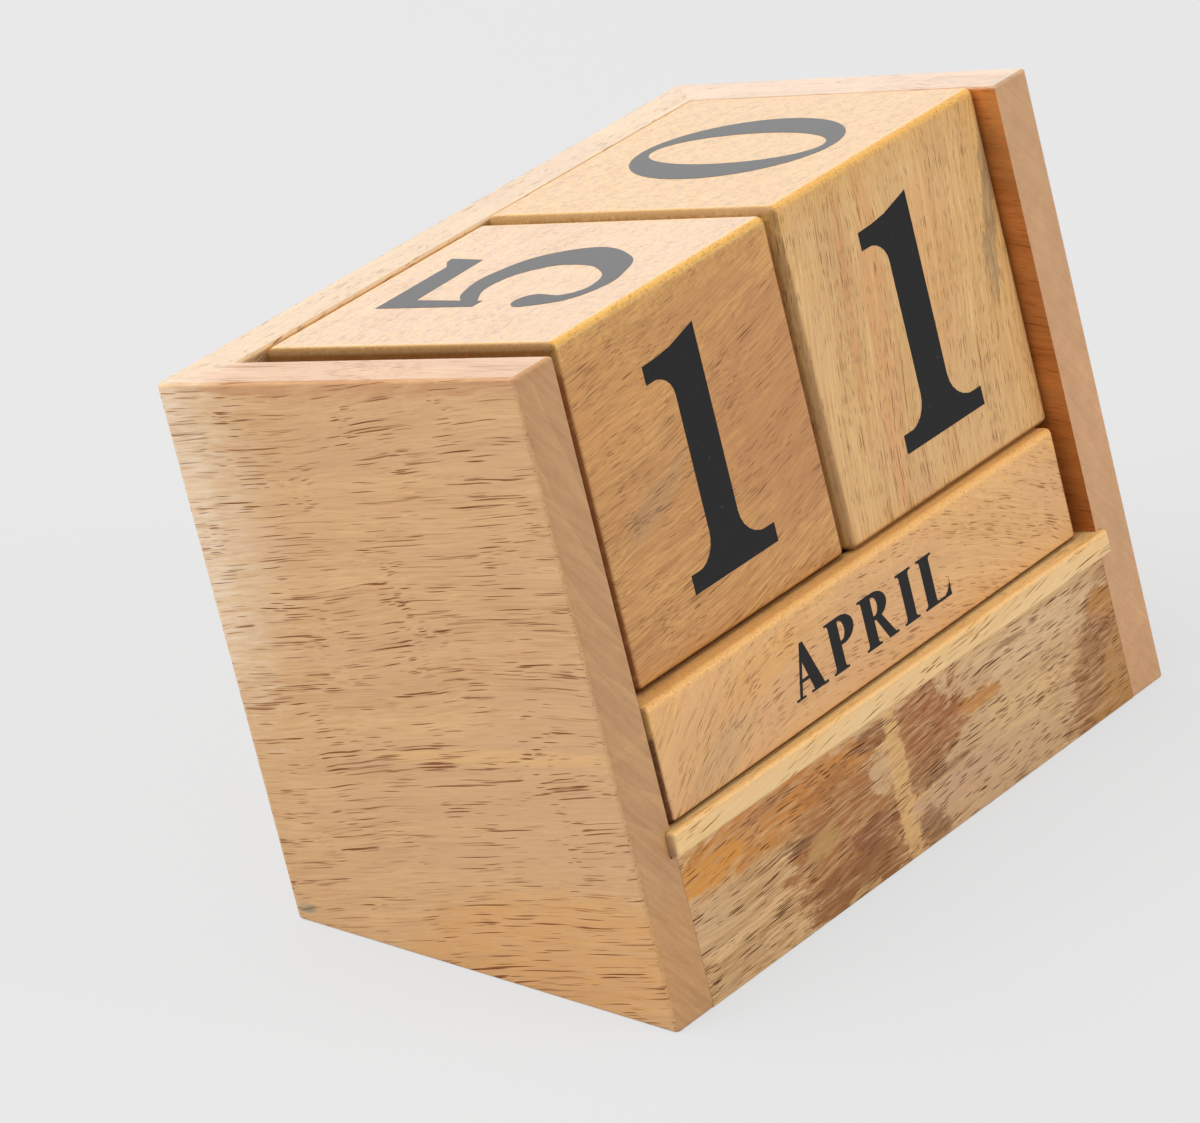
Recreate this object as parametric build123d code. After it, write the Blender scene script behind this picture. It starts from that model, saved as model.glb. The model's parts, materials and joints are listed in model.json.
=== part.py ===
from build123d import *
import os
from math import cos, radians, sin, tan

# Perpetual desk calendar: two day cubes and three month bars stand loose in an open-fronted
# wooden box, whose underside is cut on a slope so that the whole box leans back.
# Sizes are in millimetres. The box is drawn upright in its own axes (x to the right, y to the
# back, z up along the front edge) and is leaned back at the end.

# Loose blocks
day_cube_edge = 48.6
right_cube_excess = 0.5       # the right cube was cut a little larger than the left one
month_bar_section = 16.5      # square, and three of them stand under the cubes

# Boards
board_thickness = 8.1         # sides, back and apron come from one board
shelf_thickness = 3.45
apron_height = 21.75          # from the ground to the shelf, at the front
lean_angle = 13.35            # degrees from the vertical

# Room left round the loose blocks
left_cube_side_gap = 4.9
cube_to_cube_gap = 1.0
right_cube_side_gap = 0.2
back_gap = 0.2
rear_bar_gap = 0.5            # between the rear bar and the middle one
front_bar_gap = 1.45          # between the middle bar and the front one, halfway along
bar_front_recess = 0.95       # of the front bar behind the edges of the box, halfway along
front_bar_turn = 0.75         # degrees: the front bar stands a little askew, its left end forward
least_cube_recess = 1.5
left_bar_end_gap = 0.9
right_bar_end_gap = 2.3
rest_gap = 0.1                # under each block, for dust and varnish
cube_top_recess = 0.2

# Joinery
groove_depth = 1.2            # the shelf is housed this deep in the sides and the back
housing_fit = 0.05            # round the shelf in its groove, and round the apron
shelf_lip = 1.3               # how far the shelf stands out in front of the box
overcut = 1.0                 # how far a cut runs past the face it opens

# Rounding of the edges
back_corner_radius = 1.2
front_corner_radius = 0.8
rim_radius = 0.5
foot_radius = 0.4
shelf_corner_radius = 0.7
shelf_edge_radius = 0.5
apron_edge_radius = 0.3
cube_edge_radius = 1.1
cube_corner_radius = 1.3
bar_edge_radius = 0.8
bar_end_radius = 1.1

# Sizes that follow
right_cube_edge = day_cube_edge + right_cube_excess
inner_width = (left_cube_side_gap + day_cube_edge + cube_to_cube_gap
               + right_cube_edge + right_cube_side_gap)
bars_depth = 3 * month_bar_section + rear_bar_gap + front_bar_gap
inner_depth = back_gap + max(bars_depth + bar_front_recess, right_cube_edge + least_cube_recess)
box_width = inner_width + 2 * board_thickness
box_depth = inner_depth + board_thickness
shelf_top = apron_height + shelf_thickness
bar_floor = shelf_top + rest_gap
cube_floor = bar_floor + month_bar_section + rest_gap
box_height = cube_floor + day_cube_edge + cube_top_recess
slope = tan(radians(lean_angle))


def cornered_box(x_span, y_span, z_span):
    """A box between two values on each axis."""
    size = [high - low for low, high in (x_span, y_span, z_span)]
    middle = [(high + low) / 2 for low, high in (x_span, y_span, z_span)]
    return Pos(*middle) * Box(*size)


def side_profile(depth, height, width):
    """A prism across the box, standing on the sloping ground from the front to this depth."""
    corners = [(0, 0), (depth, depth * slope), (depth, height), (0, height)]
    outline = Plane.YZ * Polyline(*corners, close=True)
    return extrude(make_face(outline), amount=width / 2, both=True)


def edges_at(solid, axis, x, y):
    """The edges along an axis that stand at plus or minus x, and at y."""
    def on_line(edge):
        middle = edge.position_at(0.5)
        return abs(abs(middle.X) - x) < 0.01 and abs(middle.Y - y) < 0.01
    return [edge for edge in solid.edges().filter_by(axis) if on_line(edge)]


def carcass():
    """Sides and back in one piece, with rounded edges and the shelf's groove."""
    body = side_profile(box_depth, box_height, box_width)
    full_height = (-overcut, box_height + overcut)
    body -= cornered_box((-inner_width / 2, inner_width / 2), (-overcut, inner_depth), full_height)
    body = fillet(edges_at(body, Axis.Z, box_width / 2, box_depth), back_corner_radius)
    body = fillet(edges_at(body, Axis.Z, box_width / 2, 0), front_corner_radius)
    rim = body.faces().sort_by(Axis.Z)[-1]
    body = fillet(rim.outer_wire().edges(), rim_radius)
    foot = body.faces().sort_by(Axis.Z)[0]
    body = fillet(foot.outer_wire().edges(), foot_radius)
    groove_reach = inner_width / 2 + groove_depth
    groove_run = (-overcut, inner_depth + groove_depth)
    groove_span = (apron_height - housing_fit, shelf_top + housing_fit)
    return body - cornered_box((-groove_reach, groove_reach), groove_run, groove_span)


def mitre_zone(side):
    """The space of one side panel, up to the mitre at its back corner."""
    outside = box_width / 2 + overcut
    corners = [(outside, -overcut), (inner_width / 2, -overcut), (inner_width / 2, inner_depth),
               (outside, box_depth + overcut)]
    outline = Polyline(*[(side * x, y) for x, y in corners], close=True)
    zone = extrude(make_face(outline), amount=box_height + 2 * overcut, dir=(0, 0, 1))
    return Pos(0, 0, -overcut) * zone


def shelf_board():
    """The floor of the recess, housed on three sides, with a small lip in front."""
    reach = inner_width / 2 + groove_depth - housing_fit
    back = inner_depth + groove_depth - housing_fit
    board = cornered_box((-reach, reach), (-shelf_lip, back), (apron_height, shelf_top))
    board = fillet(edges_at(board, Axis.Z, reach, -shelf_lip), shelf_corner_radius)
    front = board.faces().sort_by(Axis.Y)[0]
    return fillet(front.edges().filter_by(Axis.X), shelf_edge_radius)


def front_apron():
    """The board that closes the front under the shelf, down to the ground."""
    top = apron_height - housing_fit
    board = side_profile(board_thickness, top, inner_width - 2 * housing_fit)
    front = board.faces().sort_by(Axis.Y)[0]
    return fillet(front.edges().filter_by(Axis.X), apron_edge_radius)


def worn_block(size, edge_radius, corner_radius):
    """A loose block with worn edges, and rounder ones at its four upright corners."""
    length, depth, height = size
    block = extrude(RectangleRounded(length, depth, corner_radius), amount=height)
    for face in (0, -1):
        block = fillet(block.faces().sort_by(Axis.Z)[face].edges(), edge_radius)
    return block


def day_cube(x_middle, edge):
    """One cube, standing against the back of the recess on top of the bars."""
    y_middle = inner_depth - back_gap - edge / 2
    cube = worn_block((edge, edge, edge), cube_edge_radius, cube_corner_radius)
    return Pos(x_middle, y_middle, cube_floor) * cube


def month_bar(y_back, turn):
    """One bar on the shelf, from the place of its back face, turned about its middle."""
    length = inner_width - left_bar_end_gap - right_bar_end_gap
    x_middle = (left_bar_end_gap - right_bar_end_gap) / 2
    size = (length, month_bar_section, month_bar_section)
    bar = worn_block(size, bar_edge_radius, bar_end_radius)
    return Pos(x_middle, y_back - month_bar_section / 2, bar_floor) * Rot(0, 0, turn) * bar


whole_box = carcass()
left_zone, right_zone = mitre_zone(-1), mitre_zone(1)
left_cube_middle = left_cube_side_gap + (day_cube_edge - inner_width) / 2
right_cube_middle = (inner_width - right_cube_edge) / 2 - right_cube_side_gap
rear_bar_back = inner_depth - back_gap
middle_bar_back = rear_bar_back - month_bar_section - rear_bar_gap
front_bar_back = middle_bar_back - month_bar_section - front_bar_gap

nodes = {
    "side_panel_left": whole_box & left_zone,
    "side_panel_right": whole_box & right_zone,
    "back_board": whole_box - left_zone - right_zone,
    "shelf_board": shelf_board(),
    "front_apron": front_apron(),
    "day_cube_left": day_cube(left_cube_middle, day_cube_edge),
    "day_cube_right": day_cube(right_cube_middle, right_cube_edge),
    "month_bar_rear": month_bar(rear_bar_back, 0),
    "month_bar_middle": month_bar(middle_bar_back, 0),
    "month_bar_front": month_bar(front_bar_back, front_bar_turn),
}

# The leaned box stands on the ground with its bounding box centred on the origin.
lean = radians(lean_angle)
overall_depth = box_depth * cos(lean) + box_height * sin(lean)
standing = Plane(origin=(0, -overall_depth / 2, 0), x_dir=(1, 0, 0), z_dir=(0, sin(lean), cos(lean)))

os.makedirs("parts", exist_ok=True)
for name, solid in nodes.items():
    export_step(standing * solid, f"parts/{name}.step")

print(f"box {box_width:.2f} wide, {box_depth:.2f} deep, {box_height:.2f} high along its front")
print(f"overall depth {overall_depth:.2f}, standing height {box_height * cos(lean):.2f}")
print(f"slide up {sin(lean):.6f} {cos(lean):.6f}, slide out {-cos(lean):.6f} {sin(lean):.6f}")
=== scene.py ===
import json
import math

import bpy
from mathutils import Euler, Matrix, Vector
from mathutils.geometry import delaunay_2d_cdt


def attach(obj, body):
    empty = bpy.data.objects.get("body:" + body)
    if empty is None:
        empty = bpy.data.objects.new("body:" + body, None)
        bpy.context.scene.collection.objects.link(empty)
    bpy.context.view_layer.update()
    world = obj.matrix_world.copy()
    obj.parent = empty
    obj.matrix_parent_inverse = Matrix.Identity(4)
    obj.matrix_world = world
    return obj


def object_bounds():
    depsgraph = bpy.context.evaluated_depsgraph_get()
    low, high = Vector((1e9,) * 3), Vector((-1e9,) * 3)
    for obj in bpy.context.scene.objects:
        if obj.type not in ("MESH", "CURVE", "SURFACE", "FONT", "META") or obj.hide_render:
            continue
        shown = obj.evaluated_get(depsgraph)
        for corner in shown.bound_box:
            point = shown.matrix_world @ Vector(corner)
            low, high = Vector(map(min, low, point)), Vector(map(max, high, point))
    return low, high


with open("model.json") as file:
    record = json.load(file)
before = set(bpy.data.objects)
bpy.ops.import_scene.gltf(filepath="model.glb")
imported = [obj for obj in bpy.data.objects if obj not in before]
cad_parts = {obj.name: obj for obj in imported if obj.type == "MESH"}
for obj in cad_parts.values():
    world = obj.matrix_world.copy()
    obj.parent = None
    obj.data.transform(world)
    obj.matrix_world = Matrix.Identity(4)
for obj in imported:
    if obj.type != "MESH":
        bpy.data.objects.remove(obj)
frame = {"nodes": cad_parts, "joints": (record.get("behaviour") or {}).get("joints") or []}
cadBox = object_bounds()
millimetre = 0.001

# The box leans back. Its own axes (x right, y back, z up along its front) are the ones that the
# boards, the grain and the printing follow, and the cubes' joint gives the lean.
liftAxis = next(joint["axis"] for joint in frame["joints"] if joint["name"] == "left_cube_lift")
leanAngle = math.atan2(liftAxis[1], liftAxis[2])
boxAxes = Matrix.Rotation(-leanAngle, 4, "X")


def measure(node, turn=0.0):
    # middle of a piece in metres, and half its size in millimetres along its own axes
    ownAxes = boxAxes @ Matrix.Rotation(math.radians(turn), 4, "Z")
    corners = [ownAxes.inverted() @ vertex.co for vertex in frame["nodes"][node].data.vertices]
    low = Vector(min(corner[i] for corner in corners) for i in range(3))
    high = Vector(max(corner[i] for corner in corners) for i in range(3))
    return ownAxes, ownAxes @ ((low + high) / 2), (high - low) / 2 / millimetre


def linearColour(hexCode):
    # sRGB hex value to the linear colour that the shaders take
    channels = [int(hexCode[i:i + 2], 16) / 255 for i in (1, 3, 5)]
    linear = [c / 12.92 if c <= 0.04045 else ((c + 0.055) / 1.055) ** 2.4 for c in channels]
    return (*linear, 1.0)


def addNode(tree, kind, links, take=0, **settings):
    # each link is a number, a hex colour or another node's output; take is the output to go on with
    node = tree.nodes.new("ShaderNode" + kind)
    for name, value in settings.items():
        setattr(node, name, value)
    for socket, source in links.items():
        if isinstance(source, bpy.types.NodeSocket):
            tree.links.new(source, node.inputs[socket])
        elif isinstance(source, str):
            node.inputs[socket].default_value = linearColour(source)
        else:
            node.inputs[socket].default_value = source
    return node.outputs[take] if node.outputs else None


def newMaterial(name):
    material = bpy.data.materials.new(name)
    material.use_nodes = True
    material.node_tree.nodes.clear()
    return material, material.node_tree


# Acacia boards and blocks, sanded, oiled and rubbed to a satin. To the eye that is a calm honey
# ground with faint fibres, on which the open pores stand as crisp dark dashes along the grain.
# Sizes are in millimetres. "turn" brings the grain to the pattern's x axis, in degrees about the
# piece's own x, y and z, and "curl" holds (where, rate, side): past it the grain climbs ever
# steeper to the right, or falls where the rate is below zero.
# "pores" holds layers of (length, spacing, size, depth), size and depth as parts of one.
woodBasics = {
    "turn": (0, 0, 0), "bodyTurn": 0.0, "seed": (0, 0, 0), "curl": (),
    "light": "#D6AC7A", "dark": "#BE9060", "tint": "#C79B72", "pore": "#64300C",
    "wander": 2.4, "wanderLength": 36, "wanderSquash": 2.2,     # it changes faster across the grain
    "fibreWidth": 0.30, "fibreLength": 8, "fibreContrast": 0.42,
    "bandWidth": 3.0, "bandLength": 42, "bandContrast": 0.22,
    "patchSize": 10, "patchContrast": 0.5,
    "ringSpacing": 5.0, "ringContrast": 0.04, "endRings": 0.30,
    "pores": ((13, 0.36, 0.36, 1.0), (7, 0.32, 0.34, 0.9), (26, 0.7, 0.17, 1.0), (60, 1.1, 0.14, 1.0)),
    "crowding": (0.50, 1.30),                    # of the pores' size, where few and where many stand
    "scarcity": (0.25, 0.85),                    # chances at which a pore starts to show and is full
    "endTone": "#B4875E", "endAmount": 0.6,      # end grain drinks more oil
    "endStreaks": 0.35,
    "endTurn": 50, "endShape": (9, 1, 0.8),      # the end grain's streaks: tilt in degrees, and size
    "paintedTopLight": (0.90, 0.82),                      # saturation and value of upward faces: painted light and shade on the tops
    # shade is a direction in the piece's own axes and a colour: painted shade on faces that look that way
    "blotches": (), "shade": None,
    "roundingShade": 0.0, "roundingShadeColour": "#4E2008",      # painted shade in the side and lower roundings, where parts meet
    "gapShadowColour": "#240C02", "gapShadowAmount": 0.9,    # and a painted shadow where a rounding turns down to a gap
    # edge colours: wear and painted light on the upper edges, and painted shade where they face left
    "edgeColour": "#DCA64E", "edgeDark": "#A8743A", "edgeLeftShade": "#74522A",
    "edgeAmount": 0.0, "edgeReach": (1.6, 1.6, 1.6), "edgeRagged": 0.3,
    "edgeMottle": 0.8, "edgeShade": 0.8,         # how far it goes to its dark, and to its painted shade where it faces left
    "pith": (0, 55, -45),                        # from the middle of the rings to the piece
    "tornSize": (5.0, 1.1), "unevenSize": (7, 0.5),     # length and width of what breaks up a blotch
    "unevenLeast": 0.25, "shadeBreakupLeast": 0.7,     # what is left of a blotch, and of the painted shade in the roundings, at least
    "rowSize": (30, 0.9), "rowAmount": 0.8,      # of the rows in which pores crowd
    "poreCore": 0.55,                            # part of a pore's size that is fully dark
    "poresFromEnd": 0.4, "poresFromAbove": 0.6,  # what is left of them on those faces
    "roughness": 0.34, "poreRoughness": 0.59, "gloss": 0.5, "poreGloss": 0.1,
    "bump": 0.35, "fibreRelief": 0.08, "gritRelief": 2.5,
}
ringScale = 0.314                                # of the Wave texture, for one ring in each millimetre
# Noise values, or how squarely a face looks a way, between which something comes in
woodLimits = {
    "tone": (0.30, 0.70),                        # the lightest and the darkest wood
    "patch": (0.42, 0.62),
    "endGrain": (0.60, 0.95),
    "squarely": (0.70, 0.97),
    "blotchEdge": (0.85, 1.10),                  # parts of its half size
    "uneven": (0.34, 0.60),
    "rows": (0.72, 1.06),
    "endStreaks": (0.40, 0.68),
    "wornAndLitEdge": (1.11, 1.26),                    # 1 is where the flats end
    "grit": (0.50, 0.66),
    "leftward": (0.15, 0.60),
    "rounding": (0.98, 0.85),                    # from a flat into its rounding
    "shadeBreakup": (0.25, 0.50),
    "downward": (0.10, 0.50),
}


def between(limit, first=0.0, last=1.0):
    # values for Map Range, which goes from the first to the last between a pair of limits
    low, high = woodLimits[limit]
    return {1: low, 2: high, 3: first, 4: last}


def woodMaterial(name, node, **changes):
    values = {**woodBasics, **changes}
    ownAxes, middle, half = measure(node, values["bodyTurn"])
    toOwn = ownAxes.to_3x3().inverted()
    toGrain = Euler([math.radians(a) for a in values["turn"]])
    material, tree = newMaterial(name)
    spot = addNode(tree, "TexCoord", {}).node.outputs
    own = addNode(tree, "Mapping", {
        "Vector": spot["Object"], "Scale": (1 / millimetre,) * 3, "Rotation": toOwn.to_euler(),
        "Location": -(toOwn @ middle) / millimetre})
    grain = addNode(tree, "Mapping", {"Vector": own, "Rotation": toGrain, "Location": values["seed"]})

    def facing(direction):
        # 1 where the surface looks along a direction given in the piece's own axes
        along = ownAxes.to_3x3() @ Vector(direction).normalized()
        return addNode(tree, "VectorMath", {0: spot["Normal"], 1: along}, "Value", operation="DOT_PRODUCT")

    # the grain wanders, and in some pieces climbs from one place on
    perLength = 1 / values["wanderLength"]
    perWidth = values["wanderSquash"] * perLength
    wander = addNode(tree, "VectorMath", {0: grain, 1: (perLength, perWidth, perWidth)}, operation="MULTIPLY")
    wander = addNode(tree, "TexNoise", {
        "Vector": wander, "Scale": 1.0, "Detail": 3.0, "Roughness": 0.4}, "Color")
    wander = addNode(tree, "VectorMath", {0: wander, 1: (-0.5,) * 3}, operation="ADD")
    sway = 2 * values["wander"]
    bent = addNode(tree, "VectorMath", {0: wander, 1: (0, sway, sway), 2: grain}, operation="MULTIPLY_ADD")
    for where, rate, side in values["curl"]:
        ownX = addNode(tree, "SeparateXYZ", {0: own}, "X")
        past = addNode(tree, "Math", {0: ownX, 1: side, 2: -side * where}, operation="MULTIPLY_ADD")
        past = addNode(tree, "Math", {0: past, 1: 0.0}, operation="MAXIMUM")
        rise = addNode(tree, "Math", {0: past, 1: 2.0}, operation="POWER")
        rise = addNode(tree, "Math", {0: rise, 1: -side * rate}, operation="MULTIPLY")
        lift = addNode(tree, "CombineXYZ", {"Z": rise})
        bent = addNode(tree, "VectorMath", {0: bent, 1: lift}, operation="ADD")

    def stretched(length, width):
        scale = (1 / length, 1 / width, 1 / width)
        return addNode(tree, "VectorMath", {0: bent, 1: scale}, operation="MULTIPLY")

    def streaks(length, width, detail):
        return addNode(tree, "TexNoise", {
            "Vector": stretched(length, width), "Scale": 1.0, "Detail": detail, "Roughness": 0.64})

    # light and dark wood along the grain, in fibres and in wider bands, with softer patches
    fibres = streaks(values["fibreLength"], values["fibreWidth"], 4.0)
    bands = streaks(values["bandLength"], values["bandWidth"], 3.0)
    patches = streaks(3 * values["patchSize"], values["patchSize"], 2.0)
    fibreTone = addNode(tree, "MapRange", {
        0: fibres, **between("tone", -values["fibreContrast"], values["fibreContrast"])})
    bandTone = addNode(tree, "MapRange", {
        0: bands, **between("tone", -values["bandContrast"], values["bandContrast"])})
    tone = addNode(tree, "Math", {0: fibreTone, 1: bandTone}, operation="ADD")
    tone = addNode(tree, "Math", {0: tone, 1: 0.5}, operation="ADD", use_clamp=True)
    colour = addNode(tree, "Mix", {0: tone, 6: values["light"], 7: values["dark"]}, 2, data_type="RGBA")
    amount = addNode(tree, "MapRange", {0: patches, **between("patch", 0.0, values["patchContrast"])})
    colour = addNode(tree, "Mix", {0: amount, 6: colour, 7: values["tint"]}, 2, data_type="RGBA")

    # growth rings round a pith that lies outside the piece, seen best on the end grain
    grainWay = toGrain.to_matrix().inverted() @ Vector((1, 0, 0))
    ends = addNode(tree, "Math", {0: facing(grainWay)}, operation="ABSOLUTE")
    ends = addNode(tree, "MapRange", {0: ends, **between("endGrain")})
    fromPith = addNode(tree, "VectorMath", {0: bent, 1: values["pith"]}, operation="ADD")
    rings = addNode(tree, "TexWave", {
        "Vector": fromPith, "Scale": ringScale / values["ringSpacing"], "Distortion": 1.6, "Detail": 2.0,
        "Detail Scale": 0.4}, "Fac", wave_type="RINGS", rings_direction="X", wave_profile="SAW")
    amount = addNode(tree, "MapRange", {0: ends, 3: values["ringContrast"], 4: values["endRings"]})
    darker = addNode(tree, "Math", {0: rings, 1: amount}, operation="MULTIPLY")
    darker = addNode(tree, "Math", {0: 1.0, 1: darker}, operation="SUBTRACT")
    colour = addNode(tree, "Mix", {
        0: 1.0, 6: colour, 7: darker}, 2, data_type="RGBA", blend_type="MULTIPLY")

    # heartwood and stains: ellipsoids with an edge torn along the grain
    if values["blotches"]:
        torn = addNode(tree, "TexNoise", {
            "Vector": stretched(*values["tornSize"]), "Scale": 1.0, "Detail": 6.0, "Roughness": 0.7}, "Color")
        torn = addNode(tree, "VectorMath", {0: torn, 1: (-0.5,) * 3}, operation="ADD")
        uneven = streaks(*values["unevenSize"], 4.0)
        uneven = addNode(tree, "MapRange", {0: uneven, **between("uneven", values["unevenLeast"])})
    for at, size, tilt, blotchColour, amount, ragged in values["blotches"]:
        inside = addNode(tree, "Mapping", {
            "Vector": own, "Location": at, "Rotation": (0, -math.radians(tilt), 0), "Scale": size},
            vector_type="TEXTURE")
        inside = addNode(tree, "VectorMath", {
            0: torn, 1: (3 * ragged, ragged, 1.5 * ragged), 2: inside}, operation="MULTIPLY_ADD")
        distance = addNode(tree, "VectorMath", {0: inside}, "Value", operation="LENGTH")
        amount = addNode(tree, "MapRange", {0: distance, **between("blotchEdge", amount, 0.0)})
        amount = addNode(tree, "Math", {0: amount, 1: uneven}, operation="MULTIPLY")
        colour = addNode(tree, "Mix", {0: amount, 6: colour, 7: blotchColour}, 2, data_type="RGBA")

    # pores: dark dashes along the grain, crowded in some rows, and hardly seen from their ends
    rows = streaks(*values["rowSize"], 2.0)
    rows = addNode(tree, "Math", {0: rows, 1: values["rowAmount"], 2: bands}, operation="MULTIPLY_ADD")
    crowd = addNode(tree, "MapRange", {0: rows, **between("rows", *values["crowding"])})
    upwards = addNode(tree, "MapRange", {0: facing((0, 0, 1)), **between("squarely")})
    leastChance, fullChance = values["scarcity"]
    marks = 0.0
    for length, spacing, size, depth in values["pores"]:
        cells = addNode(tree, "TexVoronoi", {
            "Vector": stretched(length, spacing), "Scale": 1.0}).node.outputs
        rim = addNode(tree, "Math", {0: crowd, 1: size}, operation="MULTIPLY")
        core = addNode(tree, "Math", {0: crowd, 1: values["poreCore"] * size}, operation="MULTIPLY")
        dash = addNode(tree, "MapRange", {
            0: cells["Distance"], 1: core, 2: rim, 3: 1.0, 4: 0.0}, interpolation_type="SMOOTHSTEP")
        chance = addNode(tree, "SeparateColor", {0: cells["Color"]})
        shown = addNode(tree, "MapRange", {0: chance, 1: leastChance, 2: fullChance, 3: 0.0, 4: depth})
        dash = addNode(tree, "Math", {0: dash, 1: shown}, operation="MULTIPLY")
        marks = addNode(tree, "Math", {0: dash, 1: marks}, operation="MAXIMUM")
    for seen, left in ((ends, values["poresFromEnd"]), (upwards, values["poresFromAbove"])):
        kept = addNode(tree, "MapRange", {0: seen, 3: 1.0, 4: left})
        marks = addNode(tree, "Math", {0: marks, 1: kept}, operation="MULTIPLY")
    colour = addNode(tree, "Mix", {0: marks, 6: colour, 7: values["pore"]}, 2, data_type="RGBA")

    # end grain is darker; upward faces get painted light, their saturation and value changed; and a face that
    # looks one given way gets a painted shade
    amount = addNode(tree, "Math", {0: ends, 1: values["endAmount"]}, operation="MULTIPLY")
    colour = addNode(tree, "Mix", {0: amount, 6: colour, 7: values["endTone"]}, 2, data_type="RGBA")
    endSpace = addNode(tree, "Mapping", {
        "Vector": own, "Rotation": (0, math.radians(values["endTurn"]), 0), "Scale": values["endShape"]},
        vector_type="TEXTURE")
    endNoise = addNode(tree, "TexNoise", {
        "Vector": endSpace, "Scale": 1.0, "Detail": 4.0, "Roughness": 0.65, "Distortion": 0.4})
    amount = addNode(tree, "MapRange", {0: endNoise, **between("endStreaks", 0.0, values["endStreaks"])})
    amount = addNode(tree, "Math", {0: ends, 1: amount}, operation="MULTIPLY")
    colour = addNode(tree, "Mix", {0: amount, 6: colour, 7: values["pore"]}, 2, data_type="RGBA")
    saturation, value = values["paintedTopLight"]
    colour = addNode(tree, "HueSaturation", {
        "Color": colour, "Saturation": saturation, "Value": value, "Fac": upwards})
    # painted shade: faces looking the given way are multiplied by a colour, as if in shadow
    if values["shade"]:
        direction, shadeColour = values["shade"]
        shaded = addNode(tree, "MapRange", {0: facing(direction), **between("squarely")})
        colour = addNode(tree, "Mix", {
            0: shaded, 6: colour, 7: shadeColour}, 2, data_type="RGBA", blend_type="MULTIPLY")

    # upper edges, partly worn and partly painted light, with painted shade where they face left: how far a
    # point is past the flats in two directions at once, 1 on a flat
    reach = values["edgeReach"]
    flats = [size - width for size, width in zip(half, reach)]
    beyond = addNode(tree, "VectorMath", {0: own}, operation="ABSOLUTE")
    for operation, value in (("SUBTRACT", flats), ("MAXIMUM", (0, 0, 0)), ("DIVIDE", reach)):
        beyond = addNode(tree, "VectorMath", {0: beyond, 1: value}, operation=operation)
    beyond = addNode(tree, "VectorMath", {0: beyond}, "Value", operation="LENGTH")
    roughEdge = addNode(tree, "TexNoise", {"Vector": own, "Scale": 0.9, "Detail": 4.0, "Roughness": 0.7})
    beyond = addNode(tree, "Math", {
        0: roughEdge, 1: values["edgeRagged"], 2: beyond}, operation="MULTIPLY_ADD")
    height = addNode(tree, "SeparateXYZ", {0: own}, "Z")
    upper = addNode(tree, "MapRange", {0: height, 1: half.z - 3 * reach[2], 2: half.z - 2 * reach[2]})
    worn = addNode(tree, "MapRange", {0: beyond, **between("wornAndLitEdge", 0.0, values["edgeAmount"])})
    worn = addNode(tree, "Math", {0: worn, 1: upper}, operation="MULTIPLY")
    grit = addNode(tree, "TexNoise", {"Vector": own, "Scale": 2.6, "Detail": 3.0, "Roughness": 0.7})
    amount = addNode(tree, "MapRange", {0: grit, **between("grit", 0.0, values["edgeMottle"])})
    edge = addNode(tree, "Mix", {
        0: amount, 6: values["edgeColour"], 7: values["edgeDark"]}, 2, data_type="RGBA")
    # painted shade on the part of the edge that faces left
    amount = addNode(tree, "MapRange", {
        0: facing((-1, 0, 0)), **between("leftward", 0.0, values["edgeShade"])})
    edge = addNode(tree, "Mix", {0: amount, 6: edge, 7: values["edgeLeftShade"]}, 2, data_type="RGBA")

    # painted shade in the side and lower roundings, which face none of the six ways squarely
    squarest = 0.0
    for direction in ((1, 0, 0), (0, 1, 0), (0, 0, 1)):
        square = addNode(tree, "Math", {0: facing(direction)}, operation="ABSOLUTE")
        squarest = addNode(tree, "Math", {0: squarest, 1: square}, operation="MAXIMUM")
    shadeInRoundings = addNode(tree, "MapRange", {0: squarest, **between("rounding", 0.0, values["roundingShade"])})
    shadeBreakup = addNode(tree, "MapRange", {0: roughEdge, **between("shadeBreakup", values["shadeBreakupLeast"])})
    shadeInRoundings = addNode(tree, "Math", {0: shadeInRoundings, 1: shadeBreakup}, operation="MULTIPLY")
    amount = addNode(tree, "Math", {0: 1.0, 1: upper}, operation="SUBTRACT")
    amount = addNode(tree, "Math", {0: shadeInRoundings, 1: amount}, operation="MULTIPLY")
    colour = addNode(tree, "Mix", {0: amount, 6: colour, 7: values["roundingShadeColour"]}, 2, data_type="RGBA")
    # painted shadow: darker still where a rounding turns down to a gap
    amount = addNode(tree, "MapRange", {
        0: facing((0, 0, -1)), **between("downward", 0.0, values["gapShadowAmount"])})
    amount = addNode(tree, "Math", {0: shadeInRoundings, 1: amount}, operation="MULTIPLY")
    colour = addNode(tree, "Mix", {0: amount, 6: colour, 7: values["gapShadowColour"]}, 2, data_type="RGBA")
    # the upper edges, worn and with painted light on them, go over all
    colour = addNode(tree, "Mix", {0: worn, 6: colour, 7: edge}, 2, data_type="RGBA")

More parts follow.
